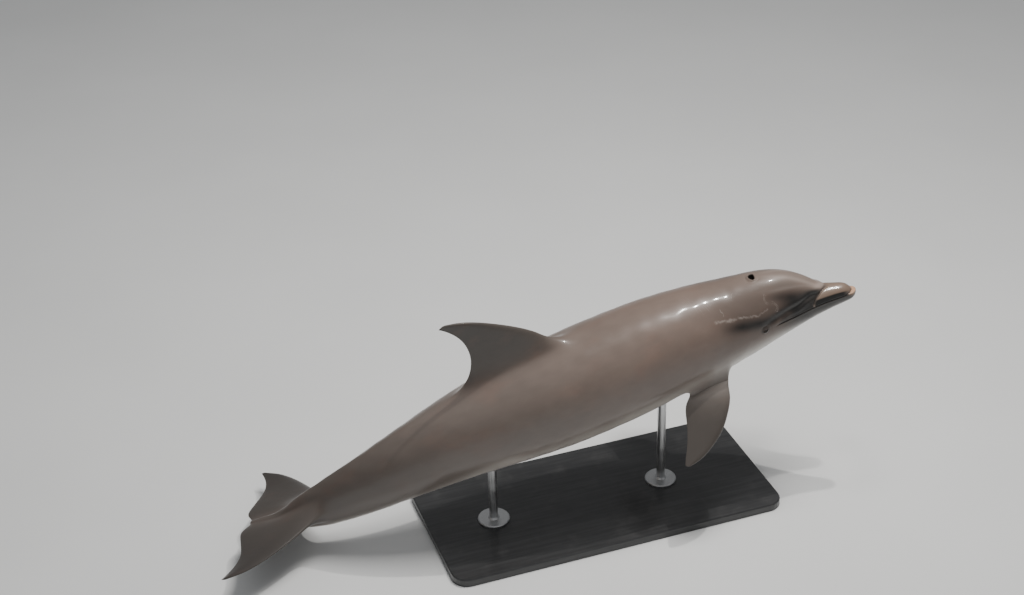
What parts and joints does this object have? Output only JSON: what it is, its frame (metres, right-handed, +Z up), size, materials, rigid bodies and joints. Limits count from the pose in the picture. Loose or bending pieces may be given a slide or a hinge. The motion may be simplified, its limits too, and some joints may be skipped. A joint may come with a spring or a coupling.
{
  "type": "bottlenose dolphin",
  "caption": "Life-size still bottlenose dolphin, swimming nose up with its head turned to its right and its tail swung to its left, on a plain plate with upright rods.",
  "frame": {"origin": "middle of the stand base's underside", "axes": "+X the way the trunk swims, +Y to the animal's left, +Z up"},
  "size_m": [2.4074, 0.8626, 0.9097],
  "materials": {
    "skin": "wet, glossy grey-brown skin, darker on the back and fins, paler below",
    "eye": "dark brown, mirror-glossy",
    "base_plate": "satin black lacquer",
    "rod": "fine brushed"
  },
  "bodies": {
    "root": {"head": "skin", "upper_beak": "skin", "lower_jaw": "skin", "chest": "skin", "midbody": "skin", "tail_stock": "skin", "dorsal_fin": "skin", "flipper_left": "skin", "flipper_right": "skin", "fluke_left": "skin", "fluke_right": "skin", "eye_left": "eye", "eye_right": "eye", "stand_base": "base_plate", "stand_rod_front": "rod", "stand_rod_rear": "rod"}
  },
  "joints": []
}
